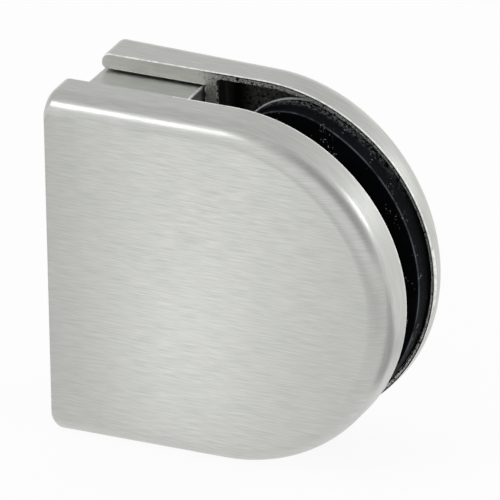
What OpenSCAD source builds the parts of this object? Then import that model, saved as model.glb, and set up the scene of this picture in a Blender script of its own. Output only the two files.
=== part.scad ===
// Glass panel clamp with a half-round nose, for fixing a glass panel to a post.
// A cast front half carries the web that bolts to the post. A cast cover slides on the web and is
// pulled against the glass by two countersunk screws. Each half holds a rubber pad.
//
// Frame: the origin is the mouth of the fixing hole, in the middle of the web's end face.
// +X runs from the post towards the nose, +Y from the front half towards the cover, +Z is up.

/* [Outline] */
// Height of the clamp, which is also the width of its half-round nose
clamp_h = 45; // [44:1:60]
// Length of the front half, from its mounting end to the tip of the nose
clamp_l = 45; // [44:1:65]
// Rounding of the two corners at the mounting end
corner_r = 1; // [0.5:0.1:2]
// Easing of the edges beside the slot and at the mounting end
edge_e = 0.2; // [0.1:0.05:0.4]

/* [Front half] */
// Thickness of the front plate
front_t = 6; // [5:0.5:8]
// Rounding of the front plate's outer edge
front_r = 2.7; // [1:0.1:3.5]
// How far the front plate laps past the web's end face
front_lap = 1.3; // [0.5:0.1:2]
// Depth of the front pad's seat
front_seat_d = 1.8; // [1:0.1:2.4]

/* [Web] */
// Width of the closed slot between the two plates
slot_w = 8; // [7.5:0.1:10]
// Length of the web along the clamp, at its rear face
web_l = 13.3; // [12:0.1:14]
// How far the web stays below the plate's top and bottom edges
web_drop = 2.3; // [1.8:0.1:4]
// Casting draft on the web's free sides, in degrees
web_draft = 1.5; // [0.5:0.5:3]
// Core diameter of the threaded fixing hole, M8
fix_hole_d = 6.8; // [5:0.1:7.4]

/* [Cover] */
// Thickness of the cover
cover_t = 6; // [5.8:0.1:7.5]
// Rounding of the cover's outer edge
cover_r = 3.4; // [1:0.1:4]
// Depth of the recess that takes the web
web_recess_d = 2.8; // [2:0.1:3]
// Gap between the web and the recess around it
web_gap = 0.3; // [0.2:0.05:0.5]
// Gap between the web's rear face and the recess floor when the clamp is closed
web_floor_gap = 0.1; // [0.05:0.05:0.4]
// Thickness of the rib between the web's recess and the pad's pocket
rib_t = 1.8; // [1.2:0.1:2.4]
// Width of the rim along the pocket's straight sides
rim_w = 0.9; // [0.7:0.1:1.6]
// How far the centre of the pocket's arc lies beyond the centre of the nose's arc
pocket_shift = 0.35; // [0:0.05:0.4]
// Depth of the pad's pocket
pocket_d = 2.4; // [2:0.1:3]
// Depth of the raised seat below the cover's inner face
rear_seat_d = 1; // [0.6:0.1:1.6]

/* [Pads] */
// Left side of both pads, from the web's end face
pad_x = 17.4; // [17:0.1:19.5]
// Rounding of the pads' two corners towards the web
pad_corner_r = 9; // [5:0.5:10]
// Gap between a pad and the wall round it
pad_gap = 0.15; // [0.1:0.05:0.3]
// How far the front pad stands out of the front plate
front_pad_proud = 0.3; // [0.2:0.1:0.6]
// How far the rear pad stands out of the cover
rear_pad_proud = 2.9; // [2.5:0.1:3.3]
// How far the raised seat stays inside the rear pad's outline
seat_inset = 0.8; // [0.4:0.1:1.5]

/* [Clamp screws] */
// Thread diameter of the two clamp screws, M5
screw_d = 5; // [4:0.5:5]
// Length of a clamp screw over its head
screw_l = 16; // [14:1:17]
// Diameter of the countersunk head
head_d = 10; // [9:0.1:10.4]
// Height of the head's cylindrical land
head_land = 0.2; // [0.1:0.05:0.4]
// Hexagon socket, across its flats
socket_af = 3; // [2:0.5:3]
// Depth of the hexagon socket
socket_d = 2.3; // [1.5:0.1:2.4]
// Distance between the two clamp screws
screw_pitch = 25; // [18:0.5:28]
// Radial gap of the screw in its threaded hole
thread_gap = 0.05; // [0.02:0.01:0.1]
// Radial gap of the screw in the cover's hole
cover_hole_gap = 0.3; // [0.1:0.05:0.5]
// Radial gap of the screw's head in the countersink
head_gap = 0.1; // [0.05:0.05:0.2]
// How far the heads lie below the cover's outer face
head_sunk = 0.2; // [0:0.1:0.4]
// Metal left between the blind screw holes and the front face
front_skin = 2.6; // [2:0.1:3]

/* [Hidden] */
$fn = 64;
over = 1;                                  // how far a cutter reaches past the faces that it cuts
cone_half_angle = 45;                      // half angle of the countersunk heads
tip_chamfer = 0.6;                         // chamfer on the screws' tips

half_h = clamp_h / 2;
nose_x = clamp_l - front_lap - half_h;     // centre of the nose's arc
pocket_x = nose_x + pocket_shift;          // centre of the pocket's arc and of the pads' arc
front_y = -slot_w / 2;                     // inner face of the front plate
cover_y = slot_w / 2;                      // inner face of the cover
cover_back_y = cover_y + cover_t;
web_y = cover_y + web_recess_d - web_floor_gap;
web_half_h = half_h - web_drop;
web_lean = tan(web_draft);
screw_x = web_l / 2;
screw_r = screw_d / 2 - thread_gap;
head_top_y = cover_back_y - head_sunk;
screw_tip_y = head_top_y - screw_l;
blind_end_y = front_y - front_t + front_skin;

// ---------- shapes that both halves share ----------

// Half of a plate's cross-section: the width runs along x, the thickness along y. The outer corner is
// rounded by r, and the corner beside the slot is eased.
module half_section(t, r) {
    square([half_h - edge_e, t - r]);
    translate([0, edge_e]) square([half_h, t - r - edge_e]);
    square([half_h - r, t]);
    translate([half_h - edge_e, edge_e]) circle(r = edge_e);
    translate([half_h - r, t - r]) circle(r = r);
}

// Outline of the straight part seen from the front, with rounded corners at the mounting end
module end_outline(x0, x1, half, r) {
    translate([x0 + r, -half]) square([x1 - x0 - r, 2 * half]);
    translate([x0, r - half]) square([x1 - x0, 2 * (half - r)]);
    for (side = [-1, 1])
        translate([x0 + r, side * (half - r)]) circle(r = r);
}

// Pad outline: a D with its arc concentric with the pocket's, and rounded corners towards the web
module pad_outline(grow) {
    nose_r = half_h - rim_w - pad_gap + grow;
    corner = pad_corner_r + grow;
    left = pad_x - grow;
    corner_x = left + corner;
    reach = max(corner_x - pocket_x, 0);
    corner_z = sqrt(pow(nose_r - corner, 2) - pow(reach, 2));
    lean = reach / corner_z;
    far = 2 * nose_r;
    intersection() {
        translate([pocket_x, 0]) circle(r = nose_r);
        polygon([
            [pocket_x, 0],
            [pocket_x + far * lean, far],
            [pocket_x + far, far],
            [pocket_x + far, -far],
            [pocket_x + far * lean, -far]
        ]);
    }
    translate([left, -corner_z])
        square([max(corner_x, pocket_x) + corner / 2 - left, 2 * corner_z]);
    if (corner_x < pocket_x)
        translate([corner_x, -nose_r]) square([pocket_x - corner_x, 2 * nose_r]);
    for (side = [-1, 1])
        translate([corner_x, side * corner_z]) circle(r = corner);
}

// Stands an outline up on the XZ plane and gives it a thickness from y0 to y1
module upright(y0, y1) {
    translate([0, y1, 0]) rotate([90, 0, 0]) linear_extrude(y1 - y0) children();
}

// Half-round plate from x0 to the nose, with its slot face on y = 0 and its outer face towards +Y
module plate(x0, t, r) {
    intersection() {
        translate([x0, 0, 0]) rotate([0, 90, 0]) linear_extrude(nose_x - x0) {
            half_section(t, r);
            mirror([1, 0]) half_section(t, r);
        }
        upright(-over, t + over)
            end_outline(x0, nose_x, half_h, corner_r);
        translate([0, 0, -half_h - over]) linear_extrude(clamp_h + 2 * over)
            polygon([
                [x0, edge_e],
                [x0 + edge_e, 0],
                [nose_x, 0],
                [nose_x, t],
                [x0 + edge_e, t],
                [x0, t - edge_e]
            ]);
    }
    translate([nose_x, 0, 0]) rotate([-90, 0, 0]) rotate([0, 0, -90])
        rotate_extrude(angle = 180) half_section(t, r);
}

// ---------- front half ----------

// Web: square to the post at its end face, with casting draft on its other free sides
module web() {
    root_y = front_y - front_t / 2;
    depth = web_y - root_y;
    intersection() {
        translate([0, 0, -half_h]) linear_extrude(clamp_h)
            polygon([
                [0, root_y],
                [web_l + depth * web_lean, root_y],
                [web_l, web_y],
                [0, web_y]
            ]);
        rotate([0, 90, 0]) linear_extrude(web_l + over)
            polygon([
                [-web_half_h - depth * web_lean, root_y],
                [web_half_h + depth * web_lean, root_y],
                [web_half_h, web_y],
                [-web_half_h, web_y]
            ]);
    }
}

module front_half() {
    color("silver")
        difference() {
            union() {
                translate([0, front_y, 0]) mirror([0, 1, 0]) plate(-front_lap, front_t, front_r);
                web();
            }
            upright(front_y - front_seat_d, front_y + over) pad_outline(pad_gap);
            translate([-over, 0, 0]) rotate([0, 90, 0])
                cylinder(d = fix_hole_d, h = web_l + 2 * over);
            for (side = [-1, 1])
                translate([screw_x, web_y + over, side * screw_pitch / 2]) rotate([90, 0, 0])
                    cylinder(d = screw_d, h = web_y + over - blind_end_y);
        }
}

// ---------- cover ----------

// Everything that is cast into the cover's inner face
module cover_hollows() {
    recess_half_h = web_half_h + web_gap;
    recess_x = web_l + web_gap;
    pocket_r = half_h - rim_w;
    translate([-over, -over, -recess_half_h])
        cube([recess_x + over, web_recess_d + over, 2 * recess_half_h]);
    difference() {
        upright(-over, pocket_d) {
            translate([recess_x + rib_t, -pocket_r])
                square([pocket_x - recess_x - rib_t, 2 * pocket_r]);
            intersection() {
                translate([pocket_x, 0]) circle(r = pocket_r);
                translate([pocket_x - over, -clamp_h]) square([clamp_h, 2 * clamp_h]);
            }
        }
        upright(rear_seat_d, pocket_d + over) pad_outline(-seat_inset);
    }
}

// Through hole and countersink of one clamp screw, along +Y, with its outer end on y = cover_t
module screw_hole() {
    hole_r = screw_d / 2 + cover_hole_gap;
    sink_r = head_d / 2 + head_gap + head_land + head_sunk;
    rotate([-90, 0, 0]) {
        cylinder(r = hole_r, h = cover_t + over);
        translate([0, 0, cover_t - (sink_r - hole_r)])
            cylinder(r1 = hole_r, r2 = sink_r, h = (sink_r - hole_r) * tan(cone_half_angle));
        translate([0, 0, cover_t - over / 100]) cylinder(r = sink_r, h = over);
    }
}

module rear_half() {
    color("silver")
        translate([0, cover_y, 0])
            difference() {
                plate(0, cover_t, cover_r);
                cover_hollows();
                for (side = [-1, 1])
                    translate([screw_x, 0, side * screw_pitch / 2]) screw_hole();
            }
}

// ---------- pads ----------

module front_pad() {
    color("#1c1f22")
        upright(front_y - front_seat_d, front_y + front_pad_proud) pad_outline(0);
}

module rear_pad() {
    color("#1c1f22")
        upright(cover_y - rear_pad_proud, cover_y + rear_seat_d) pad_outline(0);
}

// ---------- clamp screws ----------

// Countersunk screw with a hexagon socket, its head's top on y = head_top_y and its tip towards -Y
module clamp_screw(side) {
    head_r = head_d / 2;
    cone_h = (head_r - screw_r) / tan(cone_half_angle);
    color("darkgray")
        translate([screw_x, screw_tip_y, side * screw_pitch / 2]) rotate([-90, 0, 0])
            difference() {
                union() {
                    cylinder(r1 = screw_r - tip_chamfer, r2 = screw_r, h = tip_chamfer);
                    translate([0, 0, tip_chamfer])
                        cylinder(r = screw_r, h = screw_l - head_land - cone_h - tip_chamfer);
                    translate([0, 0, screw_l - head_land - cone_h])
                        cylinder(r1 = screw_r, r2 = head_r, h = cone_h);
                    translate([0, 0, screw_l - head_land]) cylinder(r = head_r, h = head_land);
                }
                translate([0, 0, screw_l - socket_d])
                    cylinder(r = socket_af / 2 / cos(30), h = socket_d + over, $fn = 6);
            }
}

module upper_clamp_screw() {
    clamp_screw(1);
}

module lower_clamp_screw() {
    clamp_screw(-1);
}

front_half();
rear_half();
front_pad();
rear_pad();
upper_clamp_screw();
lower_clamp_screw();
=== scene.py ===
"""Glass panel clamp with a half-round nose: the dressed model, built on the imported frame.

Every piece is modelled in metres in the frame of the CAD: the origin is the mouth of the fixing hole,
+X runs towards the nose, +Y from the front half towards the cover and +Z is up.
"""

import logging
import math
from collections.abc import Callable, Iterable, Sequence
from dataclasses import dataclass
from enum import Enum, IntEnum

import bmesh
import bpy
from mathutils import Matrix, Vector


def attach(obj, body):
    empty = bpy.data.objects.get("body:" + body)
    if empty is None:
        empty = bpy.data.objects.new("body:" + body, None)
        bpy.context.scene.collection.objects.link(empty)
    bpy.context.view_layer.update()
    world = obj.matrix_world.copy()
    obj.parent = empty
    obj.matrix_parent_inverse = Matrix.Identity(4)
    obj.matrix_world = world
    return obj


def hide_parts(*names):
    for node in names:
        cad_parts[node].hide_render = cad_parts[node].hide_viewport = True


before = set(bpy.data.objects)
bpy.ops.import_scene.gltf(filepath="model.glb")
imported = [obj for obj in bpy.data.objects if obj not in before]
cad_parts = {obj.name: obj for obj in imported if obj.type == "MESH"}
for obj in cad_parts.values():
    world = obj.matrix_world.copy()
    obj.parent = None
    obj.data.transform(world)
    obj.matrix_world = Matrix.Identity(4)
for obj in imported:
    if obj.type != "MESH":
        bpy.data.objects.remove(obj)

LOG = logging.getLogger("glass_clamp")
MM = 0.001
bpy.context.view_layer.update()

# Sizes that several pieces share
HALF_HEIGHT = 22.5 * MM
NOSE_X = 21.2 * MM
END_CORNER = 1.0 * MM
PLATE_THICKNESS = 6.0 * MM
SLOT_Y = 4.0 * MM
POCKET_X = 21.55 * MM
SCREW_X = 6.65 * MM
SCREW_Z = 12.5 * MM

Colour = tuple[float, float, float]
Output = bpy.types.NodeSocket
Input = Output | float | Sequence[float]
Material = bpy.types.Material
Piece = bpy.types.Object
Solid = bmesh.types.BMesh
Ring = list[Vector]


# -------- finishes


class Socket(Enum):
    """The shader inputs that the finishes set."""

    COLOUR = "Base Color"
    METAL = "Metallic"
    ROUGH = "Roughness"
    NORMAL = "Normal"
    SPECULAR = "Specular IOR Level"


class Nodes:
    """A node tree under construction, emptied first."""

    def __init__(self, tree: bpy.types.NodeTree) -> None:
        """Start on the node tree of a material or a world."""
        self.tree = tree
        self.tree.nodes.clear()

    def link(self, source: Output, target: Output) -> None:
        """Join an output to an input."""
        self.tree.links.new(source, target)

    def fill(self, node: bpy.types.Node, inputs: dict[str | int, Input]) -> None:
        """Link or set a node's inputs.

        Args:
            node: the node.
            inputs: outputs or plain values, by the input's name or number.
        """
        for key, value in inputs.items():
            if isinstance(value, Output):
                self.link(value, node.inputs[key])
            else:
                node.inputs[key].default_value = value

    def node(self, kind: str, inputs: dict[str | int, Input] | None = None) -> bpy.types.Node:
        """Add a node.

        Args:
            kind: the shader node's type, without its prefix.
            inputs: an output to link, or a plain value, for each input that is used.

        Returns:
            The node.
        """
        node = self.tree.nodes.new("ShaderNode" + kind)
        self.fill(node, inputs or {})
        return node

    def maths(self, operation: str, first: Output, second: Output | float = 0.0) -> Output:
        """One arithmetic step.

        Args:
            operation: name of the Math node's operation.
            first: first operand.
            second: second operand, an output or a number, where the operation has one.

        Returns:
            The result.
        """
        node = self.node("Math", {0: first, 1: second})
        node.operation = operation
        return node.outputs[0]

    def product(self, first: Output, *others: Output | float) -> Output:
        """Multiply values by one another.

        Args:
            first: the first factor.
            others: the other factors, outputs or numbers.

        Returns:
            The product.
        """
        for other in others:
            first = self.maths("MULTIPLY", first, other)
        return first

    def shown(self) -> Output:
        """Find the rays that show a background: camera, reflection and transmission rays.

        Returns:
            1 for those rays.
        """
        rays = self.node("LightPath").outputs
        shown = rays["Is Camera Ray"]
        for ray in ("Is Glossy Ray", "Is Transmission Ray"):
            shown = self.maths("MAXIMUM", shown, rays[ray])
        return shown


class Finish(Nodes):
    """A procedural material under construction."""

    def __init__(self, name: str) -> None:
        """Start an empty material.

        Args:
            name: the material's name.
        """
        self.material = bpy.data.materials.new(name)
        self.material.use_nodes = True
        super().__init__(self.material.node_tree)
        self.output = self.node("OutputMaterial")
        self.shader = self.node("BsdfPrincipled")
        self.show(self.shader)
        self.coordinates = self.node("TexCoord")

    def show(self, shader: bpy.types.Node) -> None:
        """Make a shader node the material's surface."""
        self.link(shader.outputs[0], self.output.inputs["Surface"])

    def dress(self, inputs: dict[Socket, Input]) -> Material:
        """Fill the shader's inputs and give the material back."""
        self.fill(self.shader, {socket.value: value for socket, value in inputs.items()})
        return self.material

    def grain(self, scale: float | Sequence[float], detail: float, rough: float) -> Output:
        """Fractal noise from 0 to 1 on Object coordinates.

        Args:
            scale: features per metre, one number or one for each axis.
            detail: octaves.
            rough: weight of the finer octaves.

        Returns:
            The factor output.
        """
        even = isinstance(scale, (int, float))
        place = self.node("Mapping", {"Vector": self.coordinates.outputs["Object"],
                                      "Scale": (scale, scale, scale) if even else scale})
        return self.node("TexNoise", {"Vector": place.outputs["Vector"], "Scale": 1.0,
                                      "Detail": detail, "Roughness": rough}).outputs["Fac"]

    def spread(self, value: Output, low: float, high: float, to_low: float = 0.0,
               to_high: float = 1.0) -> Output:
        """Map a value from one range to another, smoothly and clamped.

        Args:
            value: the input.
            low: value that gives to_low.
            high: value that gives to_high.
            to_low: result at low.
            to_high: result at high.

        Returns:
            The mapped value.
        """
        node = self.node("MapRange", {"Value": value, "From Min": low, "From Max": high,
                                      "To Min": to_low, "To Max": to_high})
        node.interpolation_type = "SMOOTHSTEP"
        return node.outputs["Result"]

    def blend(self, share: Output, first: Output | Sequence[float],
              second: Output | Sequence[float]) -> Output:
        """Mix two colours.

        Args:
            share: how much of the second.
            first: a colour or an output.
            second: a colour or an output.

        Returns:
            The mixed colour.
        """
        first, second = (colour if isinstance(colour, Output) else (*colour, 1.0)
                         for colour in (first, second))
        node = self.node("Mix", {0: share, 6: first, 7: second})
        node.data_type = "RGBA"
        return node.outputs[2]

    def mix_values(self, share: Output, first: Output, second: Output) -> Output:
        """Mix two numbers, by a share of the second."""
        return self.node("Mix", {0: share, 2: first, 3: second}).outputs[0]

    def axis(self, output: str, letter: str) -> Output:
        """The X, Y or Z of a texture coordinate, Object or Normal."""
        return self.node("SeparateXYZ", {0: self.coordinates.outputs[output]}).outputs[letter]

    def facing_y(self) -> Output:
        """How much the surface looks along Y, to either side."""
        return self.maths("ABSOLUTE", self.axis("Normal", "Y"))

    def relief(self, height: Output, distance: float, strength: float,
               under: Output | None = None) -> Output:
        """Bump.

        Args:
            height: the height pattern, 0 to 1.
            distance: height in metres of a full step.
            strength: how much of it shows.
            under: a coarser bump below this one.

        Returns:
            The normal.
        """
        inputs = {"Height": height, "Strength": strength, "Distance": distance}
        if under is not None:
            inputs["Normal"] = under
        return self.node("Bump", inputs).outputs["Normal"]


@dataclass(frozen=True)
class BrushedNickel:
    """Satin nickel plate: fine brush lines along the clamp, which follow the outline on the sides."""

    name: str = "brushed_nickel"
    colour: Colour = (0.60, 0.605, 0.58)
    shade: Colour = (0.50, 0.51, 0.485)
    line_length: float = 3.2 * MM
    line_width: float = 0.12 * MM
    line_height: float = 0.010 * MM
    cloud_scale: float = 45.0

    def make(self) -> Material:
        """Build the finish.

        Returns:
            The material.
        """
        finish = Finish(self.name)
        long, thin = 1 / self.line_length, 1 / self.line_width
        face = finish.grain((long, long, thin), 3.0, 0.6)
        side = finish.grain((long, thin, long), 3.0, 0.6)
        lines = finish.mix_values(finish.spread(finish.facing_y(), 0.50, 0.57), side, face)
        cloud = finish.grain(self.cloud_scale, 2.0, 0.5)
        return finish.dress({
            Socket.COLOUR: finish.blend(finish.spread(lines, 0.32, 0.68), self.shade, self.colour),
            Socket.ROUGH: finish.maths("ADD", finish.spread(lines, 0.3, 0.7, 0.36, 0.30),
                                       finish.spread(cloud, 0.3, 0.7, 0.0, 0.04)),
            Socket.NORMAL: finish.relief(lines, self.line_height, 0.5),
            Socket.METAL: 1.0,
        })


@dataclass(frozen=True)
class PaintedEdgeHighlight:
    """The eased edges beside the slot, painted near white as a highlight along them."""

    name: str = "painted_edge_highlight"
    colour: Colour = (0.93, 0.94, 0.92)
    shade: Colour = (0.72, 0.73, 0.71)
    grain: float = 1400.0
    glint_from: float = 0.35
    glint_to: float = 0.6
    metal: float = 0.8

    def make(self) -> Material:
        """Build the finish.

        Returns:
            The material.
        """
        finish = Finish(self.name)
        marks = finish.grain(self.grain, 3.0, 0.6)
        # Share of the painted highlight colour against the shade colour, grain by grain.
        highlight_share = finish.spread(marks, self.glint_from, self.glint_to)
        return finish.dress({
            Socket.COLOUR: finish.blend(highlight_share, self.shade, self.colour),
            Socket.ROUGH: finish.spread(marks, 0.3, 0.7, 0.62, 0.5),
            Socket.METAL: self.metal,
        })


# Painted highlight in dashes, with near-black marks between them, for the flared mouths of the recess
# and pocket.
DASHED_EDGE_HIGHLIGHT = PaintedEdgeHighlight("dashed_edge_highlight", shade=(0.06, 0.06, 0.055), grain=2300.0,
                               glint_from=0.46, glint_to=0.54)
# The seat lip painted near white, with little metal: a painted highlight round the pad.
SEAT_LIP_HIGHLIGHT = PaintedEdgeHighlight("seat_lip_highlight", metal=0.15)


@dataclass(frozen=True)
class CastNickel:
    """The unbrushed inside of the castings: smooth near the web and coarse and speckled beyond it.

    It darkens with depth as painted shade, most of all near the rib. Next to the outer edge a narrow
    dark, even strip is a painted reflection of the dark slot.
    has left a narrow dark, even line.
    """

    name: str = "cast_nickel"
    smooth: Colour = (0.58, 0.59, 0.555)
    rough: Colour = (0.42, 0.43, 0.40)
    speck: Colour = (0.97, 0.97, 0.92)
    # Dark colour of the pits, used again for the painted shade further into the pocket.
    pit_and_depth_shade: Colour = (0.012, 0.012, 0.011)
    # Painted shade: near black in the pocket next to the rib.
    hollow: Colour = (0.004, 0.004, 0.004)
    # Painted reflection: the dark slot seen in the rim beside the outer edge.
    dark_reflection: Colour = (0.035, 0.037, 0.036)
    coarse_from: float = 11.5 * MM
    coarse_to: float = 17.0 * MM
    hollow_from: float = 20.0 * MM
    hollow_to: float = 17.0 * MM
    depth_shade_from: float = SLOT_Y + 0.15 * MM
    depth_shade_to: float = SLOT_Y + 0.6 * MM
    dark_reflection_radius: float = 22.22 * MM
    dark_reflection_blur: float = 0.12 * MM
    grit_scale: float = 5200.0
    lump_scale: float = 2300.0
    plain_scale: Colour = (500.0, 2500.0, 2500.0)
    grit_height: float = 0.07 * MM

    def make(self) -> Material:
        """Build the finish.

        Returns:
            The material.
        """
        finish = Finish(self.name)
        along = finish.axis("Object", "X")
        away = finish.spread(along, self.coarse_from, self.coarse_to)
        grit = finish.grain(self.grit_scale, 2.0, 0.7)
        lumps = finish.grain(self.lump_scale, 3.0, 0.65)
        plain = finish.grain(self.plain_scale, 3.0, 0.6)
        calm = finish.blend(finish.spread(plain, 0.3, 0.7), [0.9 * c for c in self.smooth],
                            self.smooth)
        coarse = finish.blend(finish.spread(grit, 0.52, 0.66), self.rough, self.speck)
        coarse = finish.blend(finish.spread(lumps, 0.46, 0.38), coarse, self.pit_and_depth_shade)
        # Painted shade: darker further into the pocket, and near black next to the rib.
        depth_shade = finish.spread(finish.axis("Object", "Y"), self.depth_shade_from, self.depth_shade_to)
        coarse = finish.blend(finish.product(depth_shade, 0.75), coarse, self.pit_and_depth_shade)
        dark = finish.product(depth_shade, finish.spread(along, self.hollow_from, self.hollow_to))
        coarse = finish.blend(dark, coarse, self.hollow)
        # Painted reflection: a narrow dark strip beside the outer edge, in the coarse part only.
        past = finish.maths("MAXIMUM", finish.maths("SUBTRACT", along, NOSE_X))
        height = finish.axis("Object", "Z")
        square = finish.maths("ADD", finish.product(past, past), finish.product(height, height))
        dark_reflection_share = finish.spread(finish.maths("SQRT", square), self.dark_reflection_radius,
                                  self.dark_reflection_radius + self.dark_reflection_blur)
        bumps = finish.product(finish.maths("ADD", grit, lumps), away)
        return finish.dress({
            Socket.COLOUR: finish.blend(finish.product(dark_reflection_share, away),
                                        finish.blend(away, calm, coarse), self.dark_reflection),
            Socket.ROUGH: finish.mix_values(away, finish.spread(plain, 0.3, 0.7, 0.42, 0.34),
                                            finish.spread(lumps, 0.3, 0.7, 0.62, 0.4)),
            Socket.NORMAL: finish.relief(bumps, self.grit_height, 0.8),
            Socket.METAL: 0.9,
        })


@dataclass(frozen=True)
class PadRubber:
    """Black moulded rubber with a dull skin, a painted highlight along its glass edge, a painted
    sheen on the upward faces near the foot and pale dust.
    """

    name: str = "pad_rubber"
    colour: Colour = (0.0024, 0.0027, 0.0036)
    # Colour of the painted highlight on the glass edge.
    edge_sheen: Colour = (0.10, 0.115, 0.13)
    # Colour of the painted sheen near the foot.
    foot_sheen: Colour = (0.23, 0.245, 0.25)
    dust: Colour = (0.32, 0.33, 0.36)
    edge_y: float = 1.1 * MM
    foot_y: float = 4.6 * MM
    foot_height: float = 1.9 * MM
    fine_scale: float = 2600.0
    smear_scale: float = 260.0
    dust_scale: float = 3300.0
    clump_scale: float = 420.0
    smear_height: float = 0.05 * MM
    skin_height: float = 0.02 * MM

    def make(self) -> Material:
        """Build the finish.

        Returns:
            The material.
        """
        finish = Finish(self.name)
        skin = finish.grain(self.fine_scale, 2.0, 0.6)
        smear = finish.grain(self.smear_scale, 3.0, 0.6)
        specks = finish.grain(self.dust_scale, 1.0, 0.5)
        clumps = finish.grain(self.clump_scale, 2.0, 0.6)
        mottle = finish.grain(self.fine_scale, 3.0, 0.7)
        depth = finish.axis("Object", "Y")
        base = finish.blend(finish.spread(smear, 0.48, 0.78), self.colour,
                            [2.2 * c for c in self.colour])
        # Painted highlight: a bluish sheen on the rounded glass edge, away from the flat glass face.
        side = finish.spread(finish.facing_y(), 0.97, 0.85)
        front = finish.spread(depth, self.edge_y + 0.22 * MM, self.edge_y + 0.08 * MM)
        highlight_share = finish.product(side, front, finish.spread(smear, 0.38, 0.6, 0.1, 1.0))
        base = finish.blend(highlight_share, base, self.edge_sheen)
        # Painted sheen: mottled grey on the upward faces near the foot.
        foot = finish.spread(depth, self.foot_y - self.foot_height, self.foot_y)
        upward = finish.spread(finish.axis("Normal", "Z"), 0.35, 0.95)
        foot_sheen_share = finish.product(foot, upward, finish.spread(mottle, 0.46, 0.60))
        base = finish.blend(foot_sheen_share, base, self.foot_sheen)
        dust = finish.product(finish.spread(specks, 0.64, 0.72), finish.spread(clumps, 0.54, 0.68))
        return finish.dress({
            Socket.COLOUR: finish.blend(dust, base, self.dust),
            Socket.ROUGH: finish.spread(skin, 0.3, 0.7, 0.5, 0.66),
            Socket.NORMAL: finish.relief(skin, self.skin_height, 0.5,
                                         finish.relief(smear, self.smear_height, 0.4)),
            Socket.SPECULAR: 0.03,
        })


@dataclass(frozen=True)
class TurnedSteel:
    """Stainless screw steel with faint turning marks."""

    name: str = "turned_steel"
    colour: Colour = (0.56, 0.555, 0.54)
    shade: Colour = (0.40, 0.40, 0.39)
    mark_scale: Colour = (900.0, 7000.0, 900.0)
    stain_scale: float = 350.0
    mark_height: float = 0.01 * MM

    def make(self) -> Material:
        """Build the finish.

        Returns:
            The material.
        """
        finish = Finish(self.name)
        marks = finish.grain(self.mark_scale, 3.0, 0.6)
        stain = finish.grain(self.stain_scale, 3.0, 0.55)
        tone = finish.product(finish.maths("ADD", marks, stain), 0.5)
        return finish.dress({
            Socket.COLOUR: finish.blend(finish.spread(tone, 0.38, 0.6), self.shade, self.colour),
            Socket.ROUGH: finish.spread(tone, 0.35, 0.65, 0.38, 0.26),
            Socket.NORMAL: finish.relief(marks, self.mark_height, 0.5),
            Socket.METAL: 1.0,
        })


# -------- shaping


class Coat(IntEnum):
    """Which of a casting's materials a face has."""

    BRUSHED = 0
    CAST = 1
    # The next three coats are painted highlights: eased edges, dashes on flared mouths and the seat
    # lip.
    EDGE_HIGHLIGHT = 2
    DASHED_HIGHLIGHT = 3
    LIP_HIGHLIGHT = 4


class Cut(Enum):
    """How a tool piece acts on a blank."""

    REMOVE = "DIFFERENCE"
    JOIN = "UNION"


def quarter_turn(steps: int) -> list[float]:
    """Angles from 0 to a quarter turn, in even steps."""
    return [math.pi / 2 * k / steps for k in range(steps + 1)]


def add_object(name: str, data: bpy.types.ID) -> Piece:
    """Make an object and put it in the scene.

    Args:
        name: its name.
        data: its mesh, light or camera.

    Returns:
        The object.
    """
    made = bpy.data.objects.new(name, data)
    bpy.context.scene.collection.objects.link(made)
    return made


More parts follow.
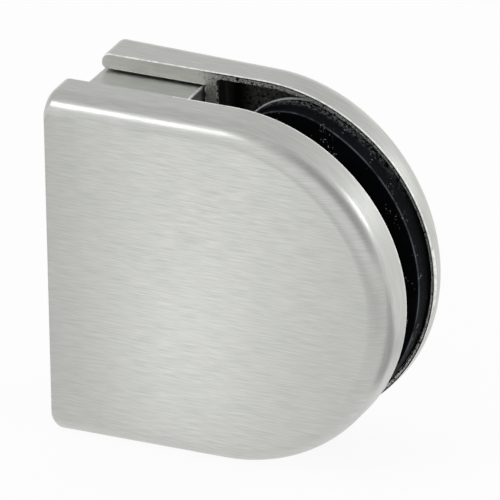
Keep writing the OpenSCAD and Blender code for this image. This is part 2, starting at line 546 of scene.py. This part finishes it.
class Shaper:
    """Bmesh steps that the pieces share."""

    SMOOTH_UP_TO = math.radians(24)
    SEAM = 1e-7
    CUT_SEAM = 2e-7
    CRISPNESS = 90

    @staticmethod
    def close(bm: Solid, coat: Coat) -> Solid:
        """Turn a closed mesh's faces outward and give them all one coat.

        Args:
            bm: the mesh.
            coat: the coat.

        Returns:
            The same mesh.
        """
        bmesh.ops.recalc_face_normals(bm, faces=bm.faces)
        for face in bm.faces:
            face.material_index = coat
        return bm

    @classmethod
    def loft(cls, rings: Sequence[Ring], coat: Coat = Coat.BRUSHED) -> Solid:
        """Extrude one closed ring through the others and close both ends.

        Args:
            rings: rings with the same number of points, in metres.
            coat: the coat of the faces.

        Returns:
            A closed mesh.
        """
        bm = bmesh.new()
        verts = [bm.verts.new(point) for point in rings[0]]
        edges = [bm.edges.new((verts[i - 1], verts[i])) for i in range(len(verts))]
        bmesh.ops.contextual_create(bm, geom=edges)
        for ring in rings[1:]:
            place = {vert: index for index, vert in enumerate(verts)}
            made = bmesh.ops.extrude_edge_only(bm, edges=edges)["geom"]
            fresh = {item for item in made if isinstance(item, bmesh.types.BMVert)}
            order: dict[int, bmesh.types.BMVert] = {}
            for vert in fresh:
                old = next(e.other_vert(vert) for e in vert.link_edges
                           if e.other_vert(vert) in place)
                order[place[old]] = vert
            verts = [order[index] for index in range(len(ring))]
            for vert, point in zip(verts, ring):
                vert.co = point
            edges = [edge for edge in made if isinstance(edge, bmesh.types.BMEdge)
                     and edge.verts[0] in fresh and edge.verts[1] in fresh]
        bmesh.ops.contextual_create(bm, geom=edges)
        return cls.close(bm, coat)

    @classmethod
    def turn(cls, profile: Iterable[tuple[float, float]], x: float, z: float, steps: int,
             coat: Coat = Coat.BRUSHED) -> Solid:
        """Spin a profile about an axis along Y.

        Args:
            profile: (radius, y) pairs in metres, from one end of the axis to the other.
            x: the axis's x.
            z: the axis's z.
            steps: steps in the full turn.
            coat: the coat of the faces.

        Returns:
            A closed mesh.
        """
        bm = bmesh.new()
        verts = [bm.verts.new((x + radius, y, z)) for radius, y in profile]
        edges = [bm.edges.new(pair) for pair in zip(verts, verts[1:])]
        bmesh.ops.spin(bm, geom=verts + edges, cent=(x, 0, z), axis=(0, 1, 0),
                       angle=math.tau, steps=steps, use_merge=True)
        bmesh.ops.remove_doubles(bm, verts=bm.verts, dist=cls.SEAM)
        return cls.close(bm, coat)

    @staticmethod
    def to_object(name: str, bm: Solid, materials: Sequence[Material]) -> Piece:
        """Make an object of a bmesh.

        Args:
            name: the object's name.
            bm: the shape, which is used up.
            materials: its materials, in order.

        Returns:
            The object.
        """
        mesh = bpy.data.meshes.new(name)
        bm.to_mesh(mesh)
        bm.free()
        for material in materials:
            mesh.materials.append(material)
        return add_object(name, mesh)

    @staticmethod
    def apply(piece: Piece) -> None:
        """Apply a piece's modifiers to its mesh.

        Args:
            piece: the piece.
        """
        graph = bpy.context.evaluated_depsgraph_get()
        mesh = bpy.data.meshes.new_from_object(piece.evaluated_get(graph), depsgraph=graph,
                                               preserve_all_data_layers=True)
        piece.modifiers.clear()
        old, name = piece.data, piece.data.name
        piece.data = mesh
        bpy.data.meshes.remove(old)
        mesh.name = name

    @classmethod
    def cut(cls, piece: Piece, tool: Solid, how: Cut = Cut.REMOVE) -> None:
        """Take a tool shape away from a piece, or join it.

        Args:
            piece: the piece that changes.
            tool: the shape that acts on it, which is used up.
            how: which of the two.
        """
        other = cls.to_object(piece.name + "_tool", tool, piece.data.materials[:])
        modifier = piece.modifiers.new("cut", "BOOLEAN")
        modifier.operation = how.value
        modifier.solver = "EXACT"
        modifier.object = other
        bpy.context.view_layer.update()
        cls.apply(piece)
        mesh = other.data
        bpy.data.objects.remove(other)
        bpy.data.meshes.remove(mesh)

    @classmethod
    def finish(cls, piece: Piece) -> Piece:
        """Smooth the curved faces, keep the flat ones flat and clean up after the cuts.

        Args:
            piece: the piece as it was cut.

        Returns:
            The same piece.
        """
        bm = bmesh.new()
        bm.from_mesh(piece.data)
        bmesh.ops.remove_doubles(bm, verts=bm.verts, dist=cls.CUT_SEAM)
        bmesh.ops.dissolve_degenerate(bm, edges=bm.edges, dist=cls.SEAM)
        for face in bm.faces:
            face.smooth = True
        for edge in bm.edges:
            if len(edge.link_faces) == 2:
                coats = {face.material_index for face in edge.link_faces}
                cast_ends = Coat.CAST in coats and len(coats) > 1
                edge.smooth = edge.calc_face_angle(0.0) < cls.SMOOTH_UP_TO and not cast_ends
        bm.to_mesh(piece.data)
        bm.free()
        weight = piece.modifiers.new("even_normals", "WEIGHTED_NORMAL")
        weight.mode = "FACE_AREA"
        weight.keep_sharp = True
        weight.weight = cls.CRISPNESS
        cls.apply(piece)
        return piece


@dataclass(frozen=True)
class HalfRound:
    """A D-shaped outline in the XZ plane, flat at the mounting end and round at the nose."""

    left: float = 0.0
    centre_x: float = NOSE_X
    half: float = HALF_HEIGHT
    corner: float = END_CORNER
    shoulder: float = 0.3
    split_x: float | None = None
    nose_steps: int = 112
    corner_steps: int = 8

    def ring(self, place: Callable[[float], tuple[float, float]], end_inset: float = 0.0) -> Ring:
        """One ring round the outline.

        Args:
            place: gives (inset, y) for a weight of 0 at the mounting end to 1 at the tip.
            end_inset: how far the mounting end is drawn in.

        Returns:
            The ring's points.
        """
        inset, y = place(0.0)
        left = self.left + end_inset
        half = self.half - inset
        lower = [Vector((left + self.corner * (1 - math.cos(turn)), y,
                         -half + self.corner * (1 - math.sin(turn))))
                 for turn in quarter_turn(self.corner_steps)]
        if self.split_x is not None:
            lower.append(Vector((self.split_x, y, -half)))
        nose = []
        for i in range(self.nose_steps + 1):
            a = math.pi * (i / self.nose_steps - 0.5)
            bend = max(math.cos(a), 0.0) ** 1.5
            tip_inset, tip_y = place(self.shoulder + (1 - self.shoulder) * bend)
            reach = self.half - tip_inset
            nose.append(Vector((self.centre_x + reach * math.cos(a), tip_y, reach * math.sin(a))))
        upper = [Vector((p.x, p.y, -p.z)) for p in reversed(lower)]
        return lower + nose + upper

    def level(self, y: float, inset: float = 0.0) -> Ring:
        """A ring at one height, drawn in evenly all round."""
        return self.ring(lambda weight: (inset, y), inset)


@dataclass(frozen=True)
class SoftPlate:
    """A half-round plate with a soft outer edge and a lightly eased inner one."""

    outline: HalfRound
    side_round: float
    nose_round: float
    ease: float = 0.2 * MM
    rub: float = 0.13 * MM
    end_ease: float = 0.3 * MM
    ease_steps: int = 4
    steps: int = 18

    def rings(self, base: float, direction: int) -> list[Ring]:
        """Rings from the slot face to the outer face.

        Args:
            base: y of the slot face.
            direction: 1 where the outer face looks towards +Y, or -1.

        Returns:
            The rings, in order.
        """
        made = [self.outline.level(base + direction * (self.ease * (1 - math.cos(turn))),
                                   self.ease * (1 - math.sin(turn)))
                for turn in quarter_turn(self.ease_steps)]
        made.append(self.outline.level(base + direction * (self.ease + self.rub)))
        for turn in quarter_turn(self.steps):

            def place(weight: float, turn: float = turn) -> tuple[float, float]:
                """Find the rounded edge at this step.

                Args:
                    weight: 0 on the straight sides, 1 at the tip.
                    turn: the step's angle.

                Returns:
                    Its inset and its y.
                """
                radius = self.side_round + (self.nose_round - self.side_round) * weight
                rise = PLATE_THICKNESS - radius * (1 - math.sin(turn))
                return radius * (1 - math.cos(turn)), base + direction * rise

            left_over = self.side_round * (1 - math.sin(turn))
            short = max(self.end_ease - left_over, 0.0)
            drawn_in = self.end_ease - math.sqrt(self.end_ease ** 2 - short ** 2)
            made.append(self.outline.ring(place, drawn_in))
        return made


@dataclass(frozen=True)
class PadOutline:
    """A pad's D outline: a nose arc and two well-rounded corners towards the web."""

    left: float = 17.4 * MM
    centre_x: float = POCKET_X
    nose: float = 21.45 * MM
    corner: float = 9.0 * MM
    nose_steps: int = 96
    corner_steps: int = 20

    def ring(self, inset: float, y: float) -> Ring:
        """The outline moved in by an inset, at one height.

        Args:
            inset: how far in; negative is out.
            y: the height.

        Returns:
            The ring's points.
        """
        nose = self.nose - inset
        corner = self.corner - inset
        left = self.left + inset
        corner_x = left + corner
        reach = corner_x - self.centre_x
        corner_z = math.sqrt((nose - corner) ** 2 - reach ** 2)
        limit = math.atan2(corner_z, reach)
        arc = [(self.centre_x + nose * math.cos(a), nose * math.sin(a))
               for a in (limit * (2 * i / self.nose_steps - 1) for i in range(self.nose_steps + 1))]
        bend = [(corner_x + corner * math.cos(a), corner_z + corner * math.sin(a))
                for a in (limit + (math.pi - limit) * i / self.corner_steps
                          for i in range(1, self.corner_steps + 1))]
        points = arc + bend + [(x, -z) for x, z in reversed(bend)]
        return [Vector((x, y, z)) for x, z in points]

    def loft(self, levels: Iterable[tuple[float, float]], coat: Coat) -> Solid:
        """Loft the outline through (inset, y) levels, in order."""
        return Shaper.loft([self.ring(inset, y) for inset, y in levels], coat)


# -------- the clamp's sub-assemblies


@dataclass
class Casting:
    """What the two cast halves share. Their finishes are in the order of Coat."""

    finishes: Sequence[Material]

    FLAT = 0.97
    FLARED = (0.3, 0.995)
    EDGE_BAND = 0.5 * MM

    def plate(self, name: str, shape: SoftPlate, outward: int, bright_from: float) -> Piece:
        """The plate, with the cast finish on its slot face and the painted highlight on its eased
        edge.

        Args:
            name: the piece's name.
            shape: the plate's form.
            outward: 1 where the outer face looks towards +Y, or -1.
            bright_from: x from which the edge carries the painted highlight.

        Returns:
            The plate.
        """
        slot_y = outward * SLOT_Y
        blank = Shaper.loft(shape.rings(slot_y, outward))
        for face in blank.faces:
            middle = face.calc_center_median()
            if -outward * face.normal.y > self.FLAT:
                face.material_index = Coat.CAST
            # Painted highlight on the eased slot edge.
            elif abs(middle.y - slot_y) < self.EDGE_BAND and middle.x > bright_from:
                face.material_index = Coat.EDGE_HIGHLIGHT
        return Shaper.to_object(name, blank, self.finishes)


@dataclass
class FrontHalf(Casting):
    """The front casting: a brushed half-round plate and the web that bears on the post."""

    edge_round: float = 2.7 * MM
    lap: float = 1.3 * MM
    web_length: float = 13.3 * MM
    web_half: float = 20.2 * MM
    web_y: float = 6.7 * MM
    web_bevel: float = 0.22 * MM
    draft: float = math.tan(math.radians(1.5))
    seat_depth: float = 1.8 * MM
    seat_gap: float = 0.15 * MM
    seat_mouth: float = 0.35 * MM
    hole_radius: float = 3.4 * MM
    hole_bevel: float = 0.5 * MM
    hole_end: float = 16.5 * MM
    thread_pitch: float = 1.25 * MM
    thread_depth: float = 0.45 * MM
    screw_radius: float = 2.5 * MM
    screw_bevel: float = 0.4 * MM
    screw_end: float = -7.4 * MM

    def web(self) -> Solid:
        """Shape the web, with its casting draft and softened edges.

        Returns:
            The web, down to the middle of the plate.
        """
        root = -SLOT_Y - PLATE_THICKNESS / 2
        lean = (self.web_y - root) * self.draft
        low = Vector((0, root, -self.web_half))
        high = Vector((self.web_length, self.web_y, self.web_half))
        place = Matrix.Translation((high + low) / 2) @ Matrix.Diagonal((*(high - low), 1))
        bm = bmesh.new()
        bmesh.ops.create_cube(bm, size=1.0, matrix=place)
        for vert in bm.verts:
            if vert.co.y < 0:
                vert.co.z += math.copysign(lean, vert.co.z)
                if vert.co.x > self.web_length / 2:
                    vert.co.x += lean
        free = [e for e in bm.edges if max(v.co.y for v in e.verts) > 0]
        bmesh.ops.bevel(bm, geom=free, offset=self.web_bevel, segments=3, profile=0.5,
                        affect="EDGES", material=-1)
        # Painted highlight on the softened edges; cast finish on the end face.
        for face in bm.faces:
            if max(abs(part) for part in face.normal) < self.FLAT:
                face.material_index = Coat.EDGE_HIGHLIGHT
            elif face.normal.x > self.FLAT:
                face.material_index = Coat.CAST
        return bm

    def build(self) -> Piece:
        """Model the casting.

        Returns:
            The finished piece.
        """
        outline = HalfRound(-self.lap, split_x=self.web_length)
        shape = SoftPlate(outline, self.edge_round, self.edge_round)
        piece = self.plate("front_casting", shape, -1, self.web_length)
        Shaper.cut(piece, self.web(), Cut.JOIN)
        seat = ((-self.seat_mouth, -SLOT_Y + 0.2 * MM), (-self.seat_gap, -SLOT_Y - 0.1 * MM),
                (-self.seat_gap, -SLOT_Y - self.seat_depth))
        Shaper.cut(piece, PadOutline().loft(seat, Coat.CAST))
        Shaper.cut(piece, self.fixing_hole())
        for side in (-1, 1):
            Shaper.cut(piece, self.screw_hole(side))
        return Shaper.finish(piece)

    def fixing_hole(self) -> Solid:
        """Shape the tapped hole through the web: an eased mouth and thread grooves.

        Returns:
            The tool shape.
        """
        radius, pitch, over = self.hole_radius, self.thread_pitch, 2 * MM
        mouth = radius + self.hole_bevel
        profile = [(0.0, -over), (mouth, -over), (mouth, 0.02 * MM)]
        y = 0.08 * MM
        while y + pitch < self.web_length + 1.5 * MM:
            profile += [(radius, y + 0.35 * pitch), (radius, y + 0.5 * pitch),
                        (radius + self.thread_depth, y + 0.9 * pitch)]
            y += pitch
        profile += [(radius, y + 0.35 * pitch), (radius, self.hole_end), (0.0, self.hole_end)]
        bm = Shaper.turn(profile, 0, 0, 56, Coat.CAST)
        bmesh.ops.rotate(bm, verts=bm.verts, cent=(0, 0, 0),
                         matrix=Matrix.Rotation(-math.pi / 2, 3, "Z"))
        return bm

    def screw_hole(self, side: int) -> Solid:
        """Shape a blind hole for one clamp screw, with a drilled point and an eased mouth.

        Args:
            side: 1 for the upper screw, -1 for the lower.

        Returns:
            The tool shape.
        """
        radius, end, top = self.screw_radius, self.screw_end, self.web_y + 1 * MM
        wide = radius + self.screw_bevel
        profile = [(0.0, end - 0.9 * MM), (radius, end + 0.5 * MM),
                   (radius, self.web_y - self.screw_bevel), (wide, self.web_y), (wide, top),
                   (0.0, top)]
        return Shaper.turn(profile, SCREW_X, side * SCREW_Z, 48, Coat.CAST)


@dataclass
class RearHalf(Casting):
    """The cover: a half-round casting, hollow inside, that slides on the web."""

    side_round: float = 1.6 * MM
    nose_round: float = 5.3 * MM
    ease: float = 0.12 * MM
    recess_depth: float = 2.8 * MM
    recess_length: float = 13.6 * MM
    recess_half: float = 20.5 * MM
    recess_corner: float = 0.5 * MM
    flare: float = 0.14 * MM
    mouth_depth: float = 0.3 * MM
    rib: float = 1.8 * MM
    rim: float = 0.9 * MM
    pocket_depth: float = 2.4 * MM
    pocket_corner: float = 0.6 * MM
    seat_depth: float = 1.0 * MM
    lip_height: float = 0.2 * MM
    lip_width: float = 0.2 * MM
    lip_nose: float = 21.35 * MM
    hole_radius: float = 2.8 * MM
    sink_radius: float = 5.5 * MM
    sink_depth: float = 2.7 * MM

    def build(self) -> Piece:
        """Model the casting.

        Returns:
            The finished piece.
        """
        shape = SoftPlate(HalfRound(), self.side_round, self.nose_round, self.ease)
        piece = self.plate("cover_casting", shape, 1, -PLATE_THICKNESS)
        Shaper.cut(piece, self.recess())
        Shaper.cut(piece, self.pocket())
        foot = SLOT_Y + self.seat_depth
        brow = foot + self.lip_height
        seat = ((1.0 * MM, foot), (0.8 * MM, brow), (0.7 * MM, SLOT_Y + self.pocket_depth + 0.5 * MM))
        Shaper.cut(piece, PadOutline().loft(seat, Coat.CAST), Cut.JOIN)
        # The lip round the seat takes the painted highlight.
        lip = ((-self.lip_width, foot), (-self.lip_width, brow))
        Shaper.cut(piece, PadOutline(nose=self.lip_nose).loft(lip, Coat.LIP_HIGHLIGHT), Cut.JOIN)
        for side in (-1, 1):
            Shaper.cut(piece, self.countersink(side))
        return Shaper.finish(piece)

    def recess(self) -> Solid:
        """Shape the recess for the web, open at the mounting end, with a flared mouth.

        Returns:
            The tool shape.
        """
        bend, over = self.recess_corner, 1 * MM

        def ring(grow: float, y: float) -> Ring:
            """Outline the recess at one height, its corners rounded at the mounting end.

            Args:
                grow: how far out the outline is moved.
                y: the height.

            Returns:
                The outline's points.
            """
            right, half = self.recess_length + grow, self.recess_half + grow
            upper = [(-over, half + bend)]
            upper += [(bend * (1 - math.cos(turn)), half + bend * (1 - math.sin(turn)))
                      for turn in quarter_turn(6)]
            upper.append((right, half))
            return [Vector((x, y, z)) for x, z in upper + [(x, -z) for x, z in reversed(upper)]]

        mouth = SLOT_Y + 0.03 * MM
        levels = ((0.50 * MM, SLOT_Y - 0.06 * MM), (self.flare, mouth), (0.0, mouth + self.flare),
                  (-0.06 * MM, SLOT_Y + self.recess_depth))
        tool = Shaper.loft([ring(grow, y) for grow, y in levels], Coat.CAST)
        # Painted highlight on the flared mouth: in dashes, and unbroken where the flare runs along
        # the top and bottom.
        self.paint_mouth_highlight(tool)
        for face in tool.faces:
            if face.material_index == Coat.DASHED_HIGHLIGHT and abs(face.normal.z) > abs(face.normal.x):
                face.material_index = Coat.EDGE_HIGHLIGHT
        return tool

    def paint_mouth_highlight(self, tool: Solid) -> None:
        """Give the flared faces near the mouth the painted highlight in dashes.

        Args:
            tool: the tool shape.
        """
        for face in tool.faces:
            flared = self.FLARED[0] < abs(face.normal.y) < self.FLARED[1]
            if flared and face.calc_center_median().y < SLOT_Y + self.mouth_depth:
                face.material_index = Coat.DASHED_HIGHLIGHT

    def pocket(self) -> Solid:
        """Shape the pad's pocket, with a rounded mouth, drafted walls and a filleted floor.

        Returns:
            The tool shape.
        """
        left, half, depth = self.recess_length + self.rib, HALF_HEIGHT - self.rim, self.pocket_depth
        levels = ((0.34 * MM, -0.2 * MM), (0.15 * MM, 0.0), (0.04 * MM, 0.11 * MM), (0.0, 0.2 * MM),
                  (-0.05 * MM, depth - 0.25 * MM), (-0.3 * MM, depth))
        tool = Shaper.loft([HalfRound(left - grow, POCKET_X, half + grow, self.pocket_corner)
                            .level(SLOT_Y + y) for grow, y in levels], Coat.CAST)
        # Painted highlight in dashes on the flared mouth.
        self.paint_mouth_highlight(tool)
        return tool

    def countersink(self, side: int) -> Solid:
        """Shape the through hole and countersink of one clamp screw.

        Args:
            side: 1 for the upper screw, -1 for the lower.

        Returns:
            The tool shape.
        """
        back, over = SLOT_Y + PLATE_THICKNESS, 0.3 * MM
        profile = [(0.0, SLOT_Y), (self.hole_radius, SLOT_Y),
                   (self.hole_radius, back - self.sink_depth), (self.sink_radius, back),
                   (self.sink_radius + 0.2 * MM, back + over), (0.0, back + over)]
        return Shaper.turn(profile, SCREW_X, side * SCREW_Z, 64)


@dataclass
class Pads:
    """The two moulded rubber pads that hold the glass."""

    rubber: Material
    round_over: float = 0.25 * MM
    front_faces: tuple[float, float] = (-3.7 * MM, -5.8 * MM)
    rear_faces: tuple[float, float] = (1.1 * MM, 5.0 * MM)

    def pad(self, name: str, front: float, back: float) -> Piece:
        """One pad with a rounded glass edge and an eased back edge.

        Args:
            name: the piece's name.
            front: y of the glass face.
            back: y of the seat face.

        Returns:
            The finished piece.
        """
        soft = self.round_over
        way = math.copysign(1.0, back - front)
        levels = [(soft * 2.2, front)]
        levels += [(soft * (1 - math.sin(turn)), front + way * soft * (1 - math.cos(turn)))
                   for turn in quarter_turn(6)]
        levels += [(0.0, back - way * soft), (soft, back)]
        blank = PadOutline().loft(levels, Coat.BRUSHED)
        return Shaper.finish(Shaper.to_object(name, blank, [self.rubber]))

    def build(self) -> tuple[Piece, Piece]:
        """Model both pads, front one first."""
        return (self.pad("front_pad_rubber", *self.front_faces),
                self.pad("rear_pad_rubber", *self.rear_faces))


@dataclass
class ClampScrew:
    """A countersunk hexagon-socket screw, M5, with its thread."""

    steel: Material
    top: float = 9.8 * MM
    tip: float = -6.2 * MM
    tip_bevel: float = 0.25 * MM
    head: float = 5.0 * MM
    head_land: float = 0.2 * MM
    head_bevel: float = 0.08 * MM
    ease: float = 0.05 * MM
    crest: float = 2.45 * MM
    root: float = 2.05 * MM
    pitch: float = 0.8 * MM
    socket_half: float = 1.5 * MM
    socket_depth: float = 2.0 * MM
    socket_point: float = 0.5 * MM

    def build(self, name: str, z: float) -> Piece:
        """Model one screw.

        Args:
            name: the piece's name.
            z: height of its axis.

        Returns:
            The finished piece.
        """
        crest, root, pitch, top = self.crest, self.root, self.pitch, self.top
        cone_foot = top - self.head_land - (self.head - crest)
        y = self.tip + self.tip_bevel
        profile = [(0.0, self.tip), (root - self.tip_bevel, self.tip), (root, y)]
        while y + pitch < cone_foot - 0.6 * MM:
            profile += [(crest, y + 0.42 * pitch), (crest, y + 0.54 * pitch),
                        (root, y + 0.92 * pitch), (root, y + pitch)]
            y += pitch
        neck = crest - self.ease
        profile += [(neck, y + 0.3 * MM), (neck, cone_foot),
                    (self.head - self.ease, top - self.head_land - self.ease),
                    (self.head, top - self.head_land), (self.head, top - self.head_bevel),
                    (self.head - self.head_bevel, top), (0.0, top)]
        piece = Shaper.to_object(name, Shaper.turn(profile, SCREW_X, z, 64), [self.steel])
        Shaper.cut(piece, self.socket(z))
        return Shaper.finish(piece)

    def socket(self, z: float) -> Solid:
        """Shape the hexagon socket with its drilled bottom.

        Args:
            z: height of the screw's axis.

        Returns:
            The tool shape.
        """
        across, length = self.socket_half / math.cos(math.pi / 6), 3 * MM
        bm = bmesh.new()
        middle = self.top - self.socket_depth + length / 2
        place = Matrix.Translation((SCREW_X, middle, z)) @ Matrix.Rotation(math.pi / 2, 4, "X")
        bmesh.ops.create_cone(bm, cap_ends=True, segments=6, radius1=across, radius2=across,
                              depth=length, matrix=place)
        floor = [f for f in bm.faces if all(v.co.y < middle for v in f.verts)]
        for vert in bmesh.ops.poke(bm, faces=floor)["verts"]:
            vert.co.y -= self.socket_point
        return Shaper.close(bm, Coat.BRUSHED)


# -------- studio


@dataclass
class Studio:
    """Plain pale floor, soft lights and the camera."""

    azimuth: float = 25.18
    elevation: float = 25.17
    roll: float = -1.215
    target: tuple[float, float, float] = (23.7 * MM, 6.0 * MM, 0.0)
    shift_right: float = -4.855554 * MM
    shift_up: float = -0.401305 * MM
    view_width: float = 60.437568 * MM
    distance: float = 2.0
    sensor_mm: float = 36.0
    sky_level: float = 0.75
    floor_white: float = 0.92
    floor_colour: Colour = (0.93, 0.93, 0.925)
    floor_size: float = 3.0
    slant: float = 0.4716

    def camera(self) -> None:
        """Make the camera: a long lens at the viewing angle."""
        a, e, r = (math.radians(v) for v in (self.azimuth, self.elevation, self.roll))
        back = Vector((math.sin(a) * math.cos(e), -math.cos(a) * math.cos(e), math.sin(e)))
        level = Vector((math.cos(a), math.sin(a), 0))
        rise = back.cross(level)
        right = math.cos(r) * level + math.sin(r) * rise
        up = math.cos(r) * rise - math.sin(r) * level
        aim = Vector(self.target) + right * self.shift_right + up * self.shift_up
        data = bpy.data.cameras.new("camera")
        data.sensor_width = self.sensor_mm
        data.lens = self.sensor_mm * self.distance / self.view_width
        data.clip_start, data.clip_end = 0.05, 20
        camera = add_object("camera", data)
        place = Matrix((right, up, back)).transposed().to_4x4()
        place.translation = aim + back * self.distance
        camera.matrix_world = place
        bpy.context.scene.camera = camera

    def floor(self) -> None:
        """Make the pale floor, which looks nearly white and keeps a light shadow."""
        bm = bmesh.new()
        bmesh.ops.create_grid(bm, x_segments=1, y_segments=1, size=self.floor_size,
                              matrix=Matrix.Translation((0, 0, -HALF_HEIGHT)))
        finish = Finish("pale_floor")
        finish.dress({Socket.COLOUR: (*self.floor_colour, 1), Socket.ROUGH: 1.0,
                      Socket.SPECULAR: 0.0})
        finish.show(finish.node("MixShader", {0: finish.product(finish.shown(), self.floor_white),
                                              1: finish.shader.outputs[0],
                                              2: finish.node("Emission").outputs[0]}))
        Shaper.to_object("floor", bm, [finish.material])

    def world(self) -> None:
        """White to the camera and in reflections, and a softer white that lights the object."""
        world = bpy.data.worlds.new("studio")
        world.use_nodes = True
        bpy.context.scene.world = world
        nodes = Nodes(world.node_tree)
        white = nodes.node("Background", {"Color": (1, 1, 1, 1)})
        sky = nodes.node("Background", {"Color": (1, 1, 1, 1), "Strength": self.sky_level})
        mix = nodes.node("MixShader", {0: nodes.shown(), 1: sky.outputs[0], 2: white.outputs[0]})
        nodes.link(mix.outputs[0], nodes.node("OutputWorld").inputs["Surface"])

    def card(self, name: str, corners: Sequence[Sequence[float]],
             levels: Sequence[tuple[float, float]], across: Sequence[float] = (1, 0, 0),
             fade: tuple[float, float, float] | None = None) -> None:
        """Make one studio card that only reflections show.

        Args:
            name: the card's name.
            corners: its four corners in metres, in order.
            levels: (place, level) pairs along the card, where a level of 1 is white.
            across: direction along which the place is counted in metres.
            fade: y where the levels hold in full, y where they have faded to one, and that one.
        """
        bm = bmesh.new()
        bm.faces.new([bm.verts.new(corner) for corner in corners])
        finish = Finish(name)
        dot = finish.node("VectorMath", {0: finish.coordinates.outputs["Object"], 1: across})
        dot.operation = "DOT_PRODUCT"
        low, high = levels[0][0], levels[-1][0]
        span = finish.spread(dot.outputs["Value"], low, high)
        span.node.interpolation_type = "LINEAR"
        ramp = finish.node("ValToRGB", {"Fac": span})
        ramp.color_ramp.interpolation = "EASE"
        for index, (place, level) in enumerate(levels):
            stop = (ramp.color_ramp.elements[index] if index < 2
                    else ramp.color_ramp.elements.new(1.0))
            stop.position = (place - low) / (high - low)
            stop.color = (level, level, level, 1)
        colour = ramp.outputs["Color"]
        if fade is not None:
            full_y, faded_y, level = fade
            share = finish.spread(finish.axis("Object", "Y"), full_y, faded_y)
            share.node.interpolation_type = "LINEAR"
            colour = finish.blend(share, colour, (level, level, level))
        finish.show(finish.node("Emission", {"Color": colour}))
        card = Shaper.to_object(name, bm, [finish.material])
        card.visible_camera = card.visible_diffuse = card.visible_shadow = False

    def cards(self) -> None:
        """The cards: a grey ceiling, a dark card on the right and two soft bands on the floor."""
        self.card("ceiling_card", ((-2, -1.2, 1.0), (2, -1.2, 1.0), (2, 2.5, 1.0), (-2, 2.5, 1.0)),
                  ((-2.0, 0.72), (0.0, 0.74), (1.0, 0.92), (2.0, 1.0)))
        self.card("dark_card_right", ((0.16, -0.36, 0.64), (0.68, -0.36, 0.08),
                                      (0.76, 0.14, 0.08), (0.28, 0.08, 0.74)),
                  ((0.1, 0.45), (0.8, 0.45)))
        low = -HALF_HEIGHT + 0.1 * MM
        left, right, near, far = -40 * MM, 190 * MM, -10.5 * MM, -400 * MM
        drift = self.slant * (near - far)
        band = ((-40, 0.35), (0, 0.55), (16, 1.9), (36, 0.9), (60, 0.8), (100, 0.6), (190, 0.6))
        self.card("floor_band",
                  ((left, near, low), (right, near, low), (right - drift, far, low),
                   (left - drift, far, low)),
                  [(x * MM + self.slant * 10 * MM, level) for x, level in band],
                  (1, -self.slant, 0), (-75 * MM, -5 * MM, 0.9))
        left, right, back = 50 * MM, 300 * MM, 22 * MM
        self.card("floor_right", ((left, near, low), (right, near, low), (right, back, low),
                                  (left, back, low)), ((left, 0.52), (right, 0.5)))

    def lamp(self, name: str, place: Sequence[float], size: tuple[float, float],
             power: float) -> None:
        """Make one soft lamp that looks at the object.

        Args:
            name: the lamp's name.
            place: its place in metres.
            size: its width and height.
            power: its power in watts.
        """
        data = bpy.data.lights.new(name, "AREA")
        data.shape = "RECTANGLE"
        data.size, data.size_y = size
        data.energy = power
        lamp = add_object(name, data)
        lamp.location = place
        aim = Vector((0.02, 0, 0)) - Vector(place)
        lamp.rotation_euler = aim.to_track_quat("-Z", "Y").to_euler()

    def build(self) -> None:
        """Set the whole studio up."""
        self.camera()
        self.floor()
        self.world()
        self.cards()
        self.lamp("key_upper_left", (-0.30, -0.47, 0.53), (0.13, 0.13), 0.5)
        self.lamp("back_right", (0.66, 0.53, 0.34), (0.18, 0.16), 0.6)
        bpy.context.scene.view_settings.view_transform = "Standard"


# -------- assembly


def place_piece(piece: Piece, body: str, node: str) -> None:
    """Let a piece ride on its body in the place of its CAD node, and log it.

    Args:
        piece: the dressed piece.
        body: the CAD body that it moves with.
        node: the CAD node that it stands for.
    """
    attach(piece, body)
    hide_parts(node)
    LOG.info("%s rides on %s for %s: %d faces", piece.name, body, node, len(piece.data.polygons))


def main() -> None:
    """Build the clamp's pieces in order, then the studio."""
    logging.basicConfig(level=logging.INFO, format="%(name)s: %(message)s")
    front_metals = [BrushedNickel().make(), CastNickel().make(), PaintedEdgeHighlight().make()]
    cover_metals = front_metals + [DASHED_EDGE_HIGHLIGHT.make(), SEAT_LIP_HIGHLIGHT.make()]
    rubber, steel = PadRubber().make(), TurnedSteel().make()
    place_piece(FrontHalf(front_metals).build(), "base", "front_half")
    place_piece(RearHalf(cover_metals).build(), "cover", "rear_half")
    front_pad, rear_pad = Pads(rubber).build()
    place_piece(front_pad, "base", "front_pad")
    place_piece(rear_pad, "cover", "rear_pad")
    screw = ClampScrew(steel)
    for which, z in (("upper", SCREW_Z), ("lower", -SCREW_Z)):
        place_piece(screw.build(f"{which}_screw_steel", z), f"{which}_screw",
                    f"{which}_clamp_screw")
    Studio().build()


if __name__ == "__main__":
    main()
